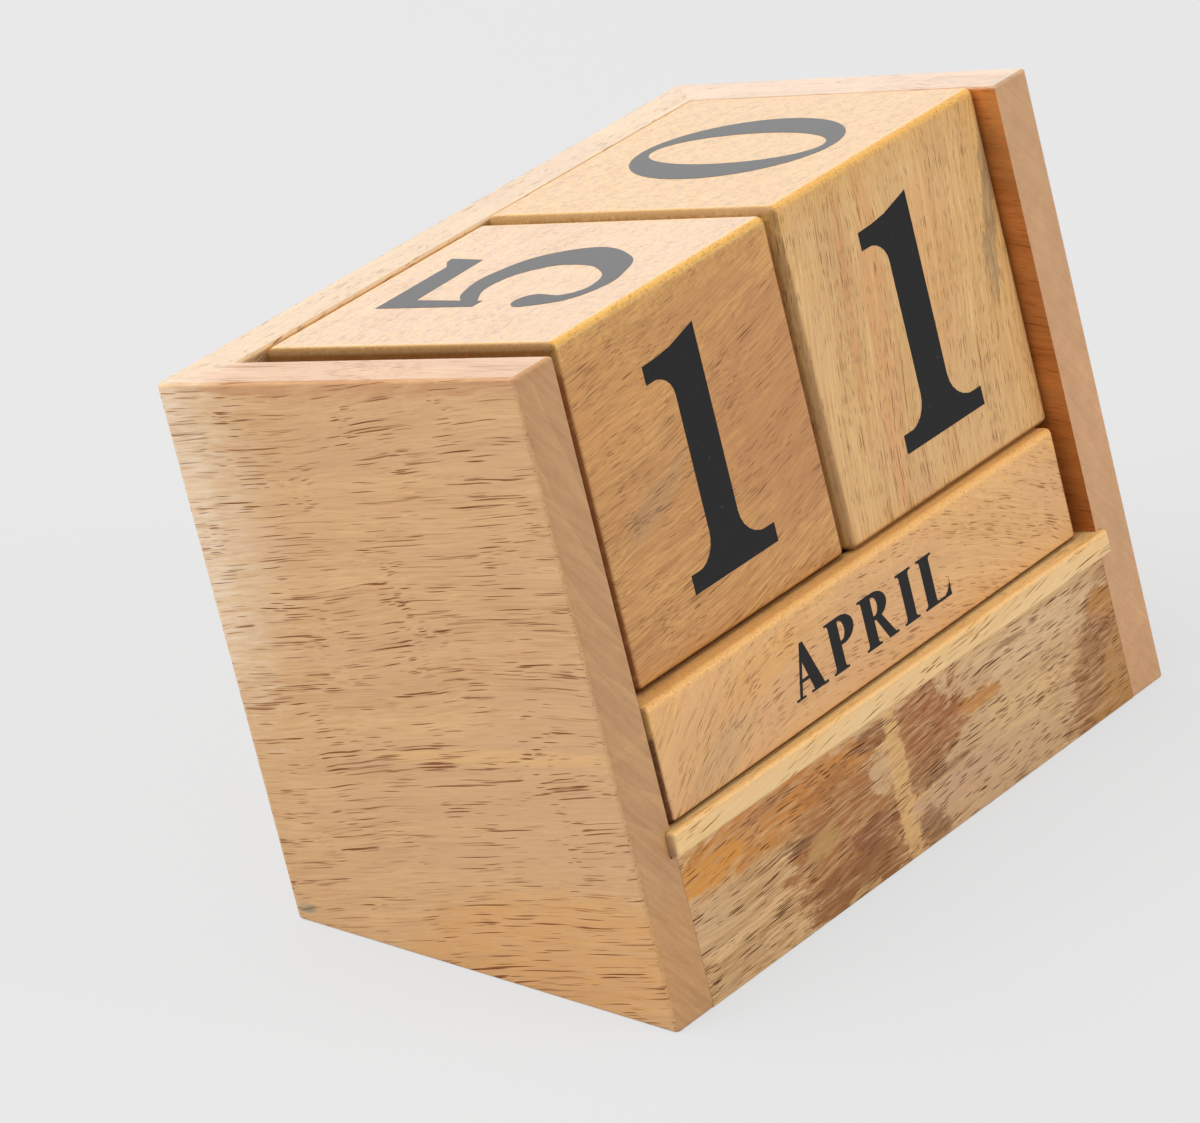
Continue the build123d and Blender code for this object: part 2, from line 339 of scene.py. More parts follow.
    # thin satin finish: pores are open and matt, the fibres stand a little, and the painted shade in the
    # roundings is matt too
    shine = addNode(tree, "MapRange", {0: marks, 3: values["roughness"], 4: values["poreRoughness"]})
    gloss = addNode(tree, "Math", {0: marks, 1: shadeInRoundings}, operation="MAXIMUM")
    gloss = addNode(tree, "MapRange", {0: gloss, 3: values["gloss"], 4: values["poreGloss"]})
    relief = addNode(tree, "Math", {0: fibres, 1: marks}, operation="SUBTRACT")
    coarse = addNode(tree, "Math", {0: grit, 1: worn}, operation="MULTIPLY")
    relief = addNode(tree, "Math", {
        0: coarse, 1: values["gritRelief"], 2: relief}, operation="MULTIPLY_ADD")
    relief = addNode(tree, "Bump", {
        "Height": relief, "Strength": values["bump"], "Distance": values["fibreRelief"] * millimetre})
    surface = addNode(tree, "BsdfPrincipled", {
        "Base Color": colour, "Roughness": shine, "Specular IOR Level": gloss, "Normal": relief})
    addNode(tree, "OutputMaterial", {"Surface": surface})
    return material


def dress(node, material):
    slots = frame["nodes"][node].data.materials
    slots.clear()
    slots.append(material)


frontBarTurn = 0.75                              # degrees that the front bar stands askew
# On the bars the edge band reaches 5 mm back over the top, painted light on the strip in front of the cubes,
# which lies in their shade; their roundings get painted shade.
barEdges = {"roundingShade": 0.9, "edgeReach": (1.6, 5.0, 1.6), "edgeColour": "#F4BC70", "edgeDark": "#D0904C"}
# A blotch is (middle from the piece's middle, half sizes, tilt in degrees, colour, amount, raggedness).
woods = {
    "side_panel_left": {
        "turn": (3, 0, -90), "endTone": "#C08E5A", "endStreaks": 0.24, "pore": "#784420",
        "paintedTopLight": (1.07, 0.77),
        "pores": ((19, 0.34, 0.33, 1.0), (9, 0.28, 0.33, 0.85), (38, 0.7, 0.19, 1.0), (75, 1.1, 0.15, 1.0)),
        "blotches": (((-4, -14, -36), (30, 26, 10), 0, "#CE9656", 0.75, 0.6),      # painted shade, darker and warmer towards the foot
                     ((-4, 32, 28), (30, 17, 34), 0, "#DCC4A6", 0.3, 1.0),         # painted highlight, a pale sheen towards the back
                     ((-4, 32, 28), (30, 12, 29), 0, "#E2CCB0", 0.35, 1.0),
                     ((-4, 32, 28), (30, 7, 24), 0, "#EAD6BC", 0.4, 1.0),
                     ((-4, -5, 45), (30, 32, 2.2), 0, "#B0784C", 0.6, 0.9),        # brown along the rim
                     ((-4, -12, -7), (30, 22, 1.2), 0, "#DDB070", 0.6, 0.4),       # a yellow streak
                     ((-4, 28, -29.5), (6, 1.6, 0.8), 0, "#6E7F6A", 0.7, 0.3))},   # a green stain
    "side_panel_right": {
        "turn": (-10, 0, -90), "seed": (40, 15, 22), "light": "#DDAE80", "dark": "#BC8C62", "tint": "#B99A78",
        "pore": "#8A5A34", "endTone": "#CC9868", "endRings": 0.12, "endStreaks": 0.12, "bandContrast": 0.5,
        "pores": ((8, 0.45, 0.36, 0.5), (4, 0.36, 0.34, 0.45), (50, 1.1, 0.14, 0.4)),
        # painted shade on the inner face, which lies in the cubes' shade
        "shade": ((-1, 0, 0), "#F4C082"),
        "blotches": (((0, -31, 38), (9, 4, 12), 0, "#A89474", 0.55, 0.6),)},
    "back_board": {
        "turn": (0, 8, 0), "seed": (11, 7, 31), "light": "#DDBB8D", "dark": "#C79F6E",
        "pores": ((5, 0.5, 0.30, 0.9), (3, 0.36, 0.30, 0.7), (60, 1.3, 0.1, 0.7)), "paintedTopLight": (1.0, 0.70)},
    "shelf_board": {
        "turn": (0, 7, 0), "seed": (5, 61, 13), "light": "#F2CE92", "dark": "#E0B270", "tint": "#E9C592",
        # its top is brightened and its upper edges coloured: painted light on the strip that lies in the
        # bar's shade
        "pore": "#8A6236", "endTone": "#B08B70", "endAmount": 1.0, "paintedTopLight": (1.05, 1.15),
        "edgeColour": "#F3BF78", "edgeDark": "#DCA050", "edgeLeftShade": "#BC9A60",
        "edgeAmount": 0.6, "edgeReach": (0.8, 1.6, 0.8)},
    "front_apron": {
        "turn": (0, 3, 0), "seed": (25, 33, 2), "light": "#E0B680", "dark": "#B0824C", "tint": "#CDA578",
        "fibreWidth": 0.26, "fibreContrast": 0.7, "bandWidth": 1.6, "bandContrast": 0.3, "pore": "#54290A",
        "pores": ((8, 0.28, 0.34, 1.0), (4, 0.26, 0.34, 0.85), (20, 0.5, 0.19, 1.0)),
        "crowding": (0.5, 1.3), "scarcity": (0.15, 0.75),
        "blotches": (
            ((-31, -4, 7.0), (27, 9, 4.0), 1, "#BC7412", 0.95, 0.8),         # orange along the top
            ((-46, -4, 6.0), (9, 9, 2.2), 3, "#D48C20", 0.8, 0.8),
            ((-20, -4, 7.2), (12, 9, 2.0), 2, "#C47A16", 0.8, 0.8),
            ((-33, -4, 9.0), (7, 9, 0.7), 4, "#8E5418", 0.8, 1.2),
            ((-16, -4, -4.0), (14, 9, 12.5), 0, "#9E601E", 1.0, 0.8),        # brown heartwood
            ((-17, -4, -8.5), (13, 9, 4.0), 3, "#85501C", 0.8, 1.2),
            ((-9, -4, -3.5), (6, 9, 1.8), 3, "#7A4210", 0.8, 1.2),
            ((-27, -4, 1.2), (3.5, 9, 0.7), 4, "#6E3E0E", 0.8, 1.2),
            ((-7, -4, 8.2), (3.6, 9, 1.7), 0, "#80480E", 0.85, 0.8),
            ((-22, -4, -0.8), (4.0, 9, 1.6), 4, "#B8924A", 0.7, 0.9),
            ((-16, -4, -10.4), (4.0, 9, 1.0), 2, "#C8A068", 0.9, 0.8),
            ((-6.8, -4, 2.6), (2.8, 9, 2.8), 0, "#D4AE80", 0.9, 0.8),
            ((5.5, -4, 5.0), (8.5, 9, 6.0), 0, "#985614", 1.0, 0.7),
            ((14, -4, 5.6), (9.0, 9, 2.8), -4, "#985614", 1.0, 0.7),
            ((3, -4, -0.6), (6.0, 9, 2.2), 8, "#8A5218", 0.9, 1.0),
            ((17.5, -4, 3.8), (5.0, 9, 1.4), 0, "#C07C22", 0.9, 0.8),
            ((10, -4, 9.6), (1.6, 9, 2.0), 0, "#D6B080", 0.95, 0.4),
            ((18, -4, -5.5), (19, 9, 6.5), 0, "#C69E74", 0.8, 1.0),          # greyer, drier wood
            ((11, -4, -5.0), (9, 9, 2.8), 0, "#C49676", 0.6, 1.2),
            ((27, -4, -0.5), (8, 9, 3.2), 0, "#DAB278", 0.7, 1.0),
            ((7, -4, -2.4), (8, 9, 0.7), 2, "#7E4C18", 0.8, 1.2),
            ((2, -4, -8.6), (3.6, 9, 3.0), 0, "#7C4A16", 0.85, 1.0),
            ((28, -4, 7.2), (19, 9, 3.2), 0, "#DAB688", 0.8, 1.0),
            ((27.5, -4, 8.2), (5.0, 9, 0.6), 2, "#7A5020", 0.7, 1.2),
            ((50, -4, -4), (18, 9, 9.4), 51, "#885010", 1.0, 0.8),           # brown at the right end
            ((52, -4, -5.5), (14, 9, 5.5), 51, "#BC863C", 0.75, 1.0),
            ((50, -4, 4.6), (4, 9, 2.4), 0, "#B8761C", 0.9, 0.8),
            ((-3, -4, 0), (1.9, 9, 15), -3, "#DCAE6C", 0.9, 0.7))},          # a pale vein
    "day_cube_left": {
        "turn": (0, 6, 0), "curl": ((-10.0, 0.0026, 1),), "seed": (3, 12, 50),
        "light": "#D9A35E", "dark": "#AE763C", "tint": "#BE824A", "pore": "#54290A",
        "patchSize": 14, "fibreContrast": 0.6,
        "pores": ((6.5, 0.22, 0.31, 0.85), (3.6, 0.19, 0.32, 0.6), (40, 0.7, 0.13, 0.8)),
        "blotches": (((-12.0, -24, -2.5), (8, 6, 2.6), 24, "#A08868", 0.34, 1.6),
                     ((-16, -24, 13), (9, 8, 9), 10, "#D09450", 0.5, 1.0),
                     ((17, -24, 0), (12, 8, 20), 0, "#B2744A", 0.4, 1.2)),
        # painted shade: its left face, its side and lower roundings and its left-facing edges are darker, as
        # in the gap by the left panel
        "paintedTopLight": (0.72, 0.74), "roundingShade": 0.85, "roundingShadeColour": "#6A3410", "shade": ((-1, 0, 0), "#CCAE88"),
        "edgeAmount": 0.85, "edgeColour": "#DEAD5A", "edgeLeftShade": "#4A2E14"},
    "day_cube_right": {
        "turn": (0, 83, 0), "seed": (9, 44, 5), "light": "#E7BC7E", "dark": "#C69454", "tint": "#D4A672",
        "pore": "#6A3E10", "endAmount": 0.0, "fibreWidth": 0.35, "fibreLength": 14, "fibreContrast": 0.55,
        "pores": ((3.6, 0.28, 0.35, 0.65), (2.2, 0.24, 0.32, 0.6), (40, 0.6, 0.2, 0.7)), "endRings": 0.12,
        "blotches": (((22.0, -25, 9), (1.6, 5, 14), -14, "#85735A", 0.75, 1.2),
                     ((-8.0, -25, 2), (2.4, 6, 28), -8, "#D3935A", 0.6, 0.8),
                     ((-13.5, -25, 6), (1.0, 6, 20), -7, "#C98A52", 0.6, 0.8),
                     ((7.0, -25, 6), (6, 6, 14), -12, "#DBA066", 0.5, 1.2)),
        "paintedTopLight": (1.0, 0.67), "roundingShade": 0.4, "edgeAmount": 0.85},
    "month_bar_front": {
        **barEdges, "bodyTurn": frontBarTurn, "seed": (17, 21, 9),
        "curl": ((-15.0, 0.012, -1), (-15.0, -0.0042, 1)),
        "light": "#E8B87C", "dark": "#CF9858", "tint": "#D4A070", "pore": "#6A3A12",
        "pores": ((4.5, 0.30, 0.34, 0.8), (2.6, 0.24, 0.32, 0.65), (20, 0.6, 0.14, 0.7)),
        "blotches": (((-37, -9, -4.5), (9, 5, 3.0), 20, "#B4946A", 0.5, 0.9),      # a greyish stain
                     ((-25, -9, 3.0), (10, 5, 3.0), 10, "#DDA04E", 0.5, 0.9)),
        # painted shade: the top strip, in the cubes' shade, is tinted warmer and darker
        "edgeAmount": 0.8, "shade": ((0, 0, 1), "#FCE8D0")},
    "month_bar_middle": {**barEdges, "seed": (71, 14, 27), "edgeAmount": 0.5},
    "month_bar_rear": {**barEdges, "seed": (31, 84, 6), "edgeAmount": 0.5},
}
for node, changes in woods.items():
    dress(node, woodMaterial("oiled_acacia_" + node, node, **changes))
print("wood: materials for", len(woods), "pieces")


# Shapes are drawn in a letter's own units: the base line is y = 0 and a capital's top is y = 1.
# Each is a list of small outlines that overlap, and the printing is the area that they cover.
def bar(left, low, right, high):
    return [[(left, low), (right, low), (right, high), (left, high)]]


def outline(*points):
    return [list(points)]


def ring(outer, inner, start=0, end=360, steps=28):
    # the area between two ellipses (x, y, half width, half height), from one angle to another
    rounds = []
    for x, y, wide, tall in (outer, inner):
        angles = [math.radians(start + (end - start) * i / steps) for i in range(steps + 1)]
        rounds.append([(x + wide * math.cos(a), y + tall * math.sin(a)) for a in angles])
    far, near = rounds
    return [[near[i], far[i], far[i + 1], near[i + 1]] for i in range(steps)]


def disc(x, y, radius, steps=20):
    angles = [2 * math.pi * i / steps for i in range(steps)]
    return [[(x + radius * math.cos(a), y + radius * math.sin(a)) for a in angles]]


def hollow(x, y, reach, rise, steps=6):
    # a corner filled up to a hollow curve, as where a stem meets its serif
    curve = []
    for i in range(steps + 1):
        a = math.pi / 2 * i / steps
        curve.append((x + reach * (1 - math.cos(a)), y + rise * (1 - math.sin(a))))
    return [[(x, y), curve[i], curve[i + 1]] for i in range(steps)]


def brush(points, widths, steps=8):
    # a stroke of changing width through some points
    path = []
    last = len(points) - 1
    for i in range(last):
        p = [Vector(points[min(max(k, 0), last)]) for k in (i - 1, i, i + 1, i + 2)]
        for j in range(steps + (i == last - 1)):
            t = j / steps
            spot = (p[1] * 2 + (p[2] - p[0]) * t + (p[0] * 2 - p[1] * 5 + p[2] * 4 - p[3]) * t ** 2
                    + (p[1] * 3 - p[0] - p[2] * 3 + p[3]) * t ** 3) / 2
            ease = t * t * (3 - 2 * t)
            path.append((spot, widths[i] + (widths[i + 1] - widths[i]) * ease))
    sides = []
    for i, (spot, width) in enumerate(path):
        ahead, behind = path[min(i + 1, len(path) - 1)][0], path[max(i - 1, 0)][0]
        across = (ahead - behind).orthogonal().normalized() * width / 2
        sides.append((tuple(spot + across), tuple(spot - across)))
    return [[sides[i][0], sides[i + 1][0], sides[i + 1][1], sides[i][1]] for i in range(len(sides) - 1)]


letter = {"stem": 0.31, "hair": 0.085, "serif": 0.045, "overhang": 0.10, "bracket": 0.07, "gap": 0.20}


def serif(left, right, y, side=1, inner=True, outer=True):
    # a thin foot (side 1) or head (side -1) across a stroke that spans left to right
    reach = letter["overhang"]
    low, high = sorted((y, y + side * letter["serif"]))
    shapes = bar(left - reach * outer, low, right + reach * inner, high)
    root = y + side * letter["serif"] * 0.9
    if outer:
        shapes += hollow(left, root, -reach * 0.8, side * letter["bracket"])
    if inner:
        shapes += hollow(right, root, reach * 0.8, side * letter["bracket"])
    return shapes


def stem(left, width=None, head=True, foot=True, low=0.0, high=1.0, inner=True, outer=True):
    right = left + (width or letter["stem"])
    shapes = bar(left, low, right, high)
    if foot:
        shapes += serif(left, right, low, 1, inner, outer)
    if head:
        shapes += serif(left, right, high, -1, inner, outer)
    return shapes


def arm(left, right, y, drop):
    # a hairline that ends in a beak, which hangs (drop below 0) or stands
    side = math.copysign(1, drop)
    low, high = sorted((y, y + side * letter["serif"] * 1.2))
    return bar(left, low, right, high) + hollow(right, y, -(right - left) * 0.85, drop)


hair = letter["hair"]
capitals = {
    "A": (1.06, outline((0.10, 0), (0.19, 0), (0.50, 0.93), (0.52, 1), (0.44, 1))
          + outline((0.44, 1), (0.55, 1), (0.96, 0), (0.62, 0), (0.365, 0.77))
          + bar(0.20, 0.28, 0.70, 0.28 + hair * 0.8) + bar(0, 0, 0.31, 0.045) + bar(0.50, 0, 1.06, 0.045)),
    "B": (0.96, stem(0.10, inner=False) + bar(0.38, 1 - hair, 0.50, 1) + bar(0.38, 0, 0.50, hair)
          + bar(0.38, 0.49, 0.52, 0.49 + hair)
          + ring((0.50, 0.765, 0.35, 0.235), (0.45, 0.765, 0.11, 0.15), -90, 90)
          + ring((0.50, 0.272, 0.43, 0.272), (0.46, 0.272, 0.15, 0.187), -90, 90)),
    "C": (0.98, ring((0.52, 0.5, 0.48, 0.52), (0.58, 0.5, 0.27, 0.45), 52, 308)
          + bar(0.865, 0.66, 0.90, 0.98) + hollow(0.90, 0.98, -0.30, -0.30)
          + brush([(0.80, 0.085), (0.88, 0.17), (0.92, 0.30)], [0.075, 0.06, 0.04])),
    "D": (1.08, stem(0.10, inner=False) + bar(0.38, 1 - hair, 0.52, 1) + bar(0.38, 0, 0.52, hair)
          + ring((0.50, 0.5, 0.54, 0.5), (0.46, 0.5, 0.25, 0.415), -90, 90)),
    "E": (0.92, stem(0.10, inner=False) + arm(0.35, 0.88, 1, -0.28) + arm(0.35, 0.92, 0, 0.31)
          + bar(0.40, 0.485, 0.68, 0.53) + hollow(0.68, 0.51, -0.17, 0.17)
          + hollow(0.68, 0.51, -0.17, -0.17)),
    "F": (0.86, stem(0.10) + arm(0.35, 0.86, 1, -0.28) + bar(0.40, 0.465, 0.66, 0.51)
          + hollow(0.66, 0.49, -0.17, 0.17) + hollow(0.66, 0.49, -0.17, -0.17)),
    "G": (1.10, ring((0.52, 0.5, 0.48, 0.52), (0.58, 0.5, 0.27, 0.45), 52, 318)
          + bar(0.865, 0.68, 0.90, 0.98) + hollow(0.90, 0.98, -0.30, -0.28)
          + stem(0.71, 0.29, foot=False, low=0.10, high=0.44)),
    "H": (1.12, stem(0.10) + stem(0.71) + bar(0.38, 0.47, 0.74, 0.47 + hair * 0.8)),
    "I": (0.51, stem(0.10)),
    "J": (0.78, stem(0.36, foot=False, low=0.2) + brush(
        [(0.515, 0.24), (0.49, 0.06), (0.35, -0.075), (0.20, -0.075), (0.09, 0.05)],
        [0.31, 0.28, 0.13, 0.07, 0.06]) + disc(0.135, 0.075, 0.115)),
    "L": (0.90, stem(0.10, inner=True) + arm(0.35, 0.90, 0, 0.33)),
    "M": (1.40, stem(0.15, hair)
          + outline((0.10, 1), (0.44, 1), (0.79, 0.16), (0.70, 0), (0.62, 0), (0.21, 0.88))
          + outline((0.62, 0), (0.70, 0), (1.08, 0.93), (1.04, 1)) + stem(0.98, 0.32)),
    "N": (1.10, stem(0.155, hair, head=False) + outline(
        (0.06, 1), (0.37, 1), (0.95, 0.17), (0.95, -0.02), (0.89, -0.02), (0.24, 0.80), (0.155, 0.93))
        + bar(0, 1 - 0.045, 0.3, 1) + stem(0.865, hair, foot=False)),
    "O": (1.06, ring((0.53, 0.5, 0.50, 0.52), (0.53, 0.5, 0.20, 0.45), steps=40)),
    "P": (0.92, stem(0.10) + bar(0.38, 1 - hair, 0.50, 1) + bar(0.38, 0.46, 0.50, 0.46 + hair)
          + ring((0.48, 0.73, 0.42, 0.27), (0.45, 0.73, 0.14, 0.185), -90, 90)),
    "R": (1.10, stem(0.10) + bar(0.38, 1 - hair, 0.50, 1) + bar(0.38, 0.48, 0.50, 0.48 + hair)
          + ring((0.48, 0.74, 0.42, 0.26), (0.45, 0.74, 0.14, 0.175), -90, 90)
          + outline((0.44, 0.52), (0.66, 0.52), (0.99, 0.05), (1.08, 0.045), (1.08, 0), (0.76, 0))),
    "S": (0.80, brush([(0.62, 0.78), (0.53, 0.93), (0.37, 0.985), (0.20, 0.90), (0.18, 0.72), (0.38, 0.56),
                       (0.58, 0.42), (0.62, 0.22), (0.46, 0.04), (0.28, 0.015), (0.15, 0.09), (0.08, 0.25)],
                      [0.04, 0.06, 0.08, 0.15, 0.23, 0.30, 0.30, 0.24, 0.13, 0.08, 0.06, 0.04])
          + bar(0.64, 0.68, 0.675, 1.0) + bar(0.055, 0, 0.09, 0.32)),
    "T": (1.00, stem(0.345, head=False) + arm(0.5, 0.98, 1, -0.30) + arm(0.5, 0.02, 1, -0.30)
          + bar(0.02, 0.946, 0.98, 1)),
    "U": (1.09, stem(0.10, foot=False, low=0.33) + stem(0.86, hair, foot=False, low=0.33)
          + ring((0.5225, 0.34, 0.4225, 0.36), (0.635, 0.34, 0.225, 0.27), 180, 360)),
    "V": (1.06, outline((0.08, 1), (0.43, 1), (0.635, 0.34), (0.55, 0), (0.46, 0))
          + outline((0.50, 0), (0.56, 0), (0.93, 1), (0.84, 1)) + bar(0, 0.955, 0.54, 1)
          + bar(0.73, 0.955, 1.06, 1)),
    "Y": (1.06, outline((0.06, 1), (0.42, 1), (0.64, 0.48), (0.38, 0.40))
          + stem(0.36, 0.30, head=False, high=0.46)
          + outline((0.58, 0.42), (0.66, 0.42), (0.95, 1), (0.86, 1)) + bar(0, 0.955, 0.52, 1)
          + bar(0.75, 0.955, 1.06, 1)),
}
numerals = {
    "0": (0.74, ring((0.37, 0.49, 0.37, 0.49), (0.37, 0.49, 0.19, 0.435), steps=44)),
    "1": (0.57, bar(0.17, 0, 0.37, 0.93) + bar(0, 0, 0.57, 0.08) + hollow(0.17, 0.078, -0.12, 0.12)
          + hollow(0.37, 0.078, 0.15, 0.13) + hollow(0.17, 0.868, -0.12, -0.10)
          + outline((0.01, 0.866), (0.37, 0.866), (0.37, 1), (0.30, 0.982), (0.20, 0.957), (0.11, 0.947),
                    (0.01, 0.943))),
    "2": (0.70, disc(0.14, 0.73, 0.085) + brush(
        [(0.08, 0.74), (0.15, 0.91), (0.35, 0.975), (0.55, 0.86), (0.555, 0.66), (0.40, 0.40), (0.08, 0.08)],
        [0.04, 0.07, 0.08, 0.19, 0.21, 0.15, 0.05])
        + outline((0.04, 0), (0.60, 0), (0.58, 0.155), (0.16, 0.155), (0.04, 0.06))
        + outline((0.48, 0), (0.61, 0), (0.69, 0.25), (0.655, 0.25), (0.56, 0.15))),
    "3": (0.66, disc(0.135, 0.77, 0.075) + disc(0.135, 0.18, 0.09) + brush(
        [(0.08, 0.78), (0.17, 0.93), (0.34, 0.975), (0.50, 0.87), (0.505, 0.70), (0.40, 0.57), (0.24, 0.52)],
        [0.04, 0.06, 0.08, 0.18, 0.20, 0.12, 0.05]) + brush(
        [(0.24, 0.525), (0.41, 0.51), (0.555, 0.38), (0.555, 0.17), (0.39, 0.03), (0.20, 0.03), (0.07, 0.15)],
        [0.04, 0.09, 0.20, 0.22, 0.11, 0.06, 0.05])),
    "4": (0.70, bar(0.38, 0, 0.585, 1) + bar(0.02, 0.22, 0.70, 0.345)
          + outline((0.02, 0.30), (0.09, 0.30), (0.50, 1), (0.43, 1))),
    "5": (0.68, outline((0.026, 1.0), (0.116, 0.855), (0.575, 0.87), (0.60, 1.05), (0.56, 1.045), (0.50, 1.0))
          + outline((0.02, 0.50), (0.085, 0.50), (0.115, 0.90), (0.026, 1.0))
          + brush([(0.05, 0.53), (0.19, 0.63), (0.37, 0.635), (0.53, 0.53), (0.585, 0.35), (0.50, 0.15),
                   (0.33, 0.04), (0.18, 0.04), (0.09, 0.12), (0.075, 0.25)],
                  [0.05, 0.09, 0.13, 0.185, 0.20, 0.15, 0.085, 0.065, 0.085, 0.14])
          + disc(0.075, 0.26, 0.072)),
    "6": (0.72, ring((0.37, 0.315, 0.335, 0.325), (0.38, 0.315, 0.145, 0.265), steps=36)
          + brush([(0.64, 0.985), (0.42, 0.91), (0.22, 0.72), (0.135, 0.48), (0.13, 0.30)],
                  [0.03, 0.09, 0.16, 0.195, 0.19])),
    "7": (0.66, outline((0.06, 0.82), (0.60, 0.82), (0.66, 0.975), (0.06, 0.975))
          + outline((0.03, 0.68), (0.07, 0.68), (0.13, 0.83), (0.13, 0.975), (0.06, 0.975))
          + brush([(0.595, 0.90), (0.46, 0.62), (0.34, 0.34), (0.30, 0.0)], [0.10, 0.13, 0.175, 0.21])),
    "8": (0.70, ring((0.35, 0.755, 0.275, 0.245), (0.35, 0.755, 0.12, 0.195), steps=32)
          + ring((0.35, 0.275, 0.34, 0.29), (0.35, 0.275, 0.155, 0.225), steps=36)),
}


def spell(text, alphabet):
    # the outlines of a word, one letter after another, centred on x = 0
    shapes, pen = [], 0.0
    for sign in text:
        width, parts = alphabet[sign]
        shapes += [[(pen + x, y) for x, y in part] for part in parts]
        pen += width + letter["gap"]
    middle = (pen - letter["gap"]) / 2
    return [[(x - middle, y) for x, y in part] for part in shapes]


def printFace(name, shapes, height, place, thickness):
    # the area that the outlines cover, extruded to a thin closed layer of ink on a face
    points = [Vector(point) for part in shapes for point in part]
    faces, used = [], 0
    for part in shapes:
        turnsLeft = sum(a[0] * b[1] - b[0] * a[1] for a, b in zip(part, part[1:] + part[:1])) > 0
        faces.append(list(range(used, used + len(part)))[::1 if turnsLeft else -1])
        used += len(part)
    spots, _, corners, _, _, covered = delaunay_2d_cdt(points, [], faces, 1, 1e-5)
    inked = [corner for corner, parts in zip(corners, covered) if parts]
    mesh = bpy.data.meshes.new(name)
    mesh.from_pydata([(x, y, 0) for x, y in spots], [], inked)
    layer = bpy.data.objects.new(name, mesh)
    bpy.context.scene.collection.objects.link(layer)
    bpy.ops.object.select_all(action="DESELECT")
    layer.select_set(True)
    bpy.context.view_layer.objects.active = layer
    bpy.ops.object.mode_set(mode="EDIT")
    bpy.ops.mesh.select_all(action="SELECT")
    bpy.ops.mesh.dissolve_limited(angle_limit=math.radians(1))
    bpy.ops.mesh.extrude_region_move(TRANSFORM_OT_translate={"value": (0, 0, thickness / height)})
    bpy.ops.mesh.select_all(action="SELECT")
    bpy.ops.mesh.normals_make_consistent(inside=False)
    bpy.ops.object.mode_set(mode="OBJECT")
    mesh.transform(place @ Matrix.Scale(height * millimetre, 4))
    return layer


printing = {
    "depth": 0.02, "rise": 0.03,                 # how deep the ink soaks in, and how far it stands
    "numeralHeight": 33.6, "capitalHeight": 7.25,
    "numeralShift": (1.3, 0), "capitalShift": (0.0, -0.5),      # right and up from the middle of a face
}
faceAxes = {  # to the reader's right, and up, on each face of a block
    "front": ("X", "Z"), "back": ("-X", "Z"), "right": ("Y", "Z"), "left": ("-Y", "Z"),
    "top": ("X", "Y"), "bottom": ("X", "-Y"), "rolledBack": ("X", "-Z"),
}
axisVectors = {"X": Vector((1, 0, 0)), "Y": Vector((0, 1, 0)), "Z": Vector((0, 0, 1))}


def printBlock(name, node, body, texts, alphabet, height, shift, turn=0.0):
    ownAxes, middle, half = measure(node, turn)
    toMiddle = Matrix.Translation(middle) @ ownAxes.to_3x3().to_4x4()
    thickness = printing["depth"] + printing["rise"]
    layers = []
    for face, text in texts.items():
        across, up = [axisVectors[a[-1]] * (-1 if a[0] == "-" else 1) for a in faceAxes[face]]
        out = across.cross(up)
        distance = abs(out.dot(half)) - printing["depth"]
        spot = out * distance + across * shift[0] + up * (shift[1] - height / 2)
        axes = Matrix((across, up, out)).transposed().to_4x4()
        place = toMiddle @ Matrix.Translation(spot * millimetre) @ axes
        layers.append(printFace(name, spell(text, alphabet), height, place, thickness))
    bpy.ops.object.select_all(action="DESELECT")
    for layer in layers:
        layer.select_set(True)
    bpy.context.view_layer.objects.active = layers[0]
    bpy.ops.object.join()
    piece = bpy.context.view_layer.objects.active
    piece.name = name
    piece.data.materials.append(ink)
    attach(piece, body)


# Screen-printed matt enamel: nearly black, a little broken where the pores under it are open
inkValues = {
    "colour": "#151314", "worn": "#4A3A2E", "roughness": 0.38, "specular": 0.17,
    "fleckScale": 900.0, "wornFrom": 0.64, "wornTo": 0.74, "wornAmount": 0.6,
    "bump": 0.15, "relief": 0.05,                # relief in millimetres
}
ink, inkTree = newMaterial("screen_printed_enamel")
inkPlace = addNode(inkTree, "TexCoord", {}, "Object")
inkFlecks = addNode(inkTree, "TexNoise", {
    "Vector": inkPlace, "Scale": inkValues["fleckScale"], "Detail": 3.0, "Roughness": 0.6})
inkWear = addNode(inkTree, "MapRange", {
    0: inkFlecks, 1: inkValues["wornFrom"], 2: inkValues["wornTo"], 3: 0.0, 4: inkValues["wornAmount"]})
inkColour = addNode(inkTree, "Mix", {
    0: inkWear, 6: inkValues["colour"], 7: inkValues["worn"]}, 2, data_type="RGBA")
inkRelief = addNode(inkTree, "Bump", {
    "Height": inkFlecks, "Strength": inkValues["bump"], "Distance": inkValues["relief"] * millimetre})
inkSurface = addNode(inkTree, "BsdfPrincipled", {
    "Base Color": inkColour, "Roughness": inkValues["roughness"],
    "Specular IOR Level": inkValues["specular"], "Normal": inkRelief})
addNode(inkTree, "OutputMaterial", {"Surface": inkSurface})

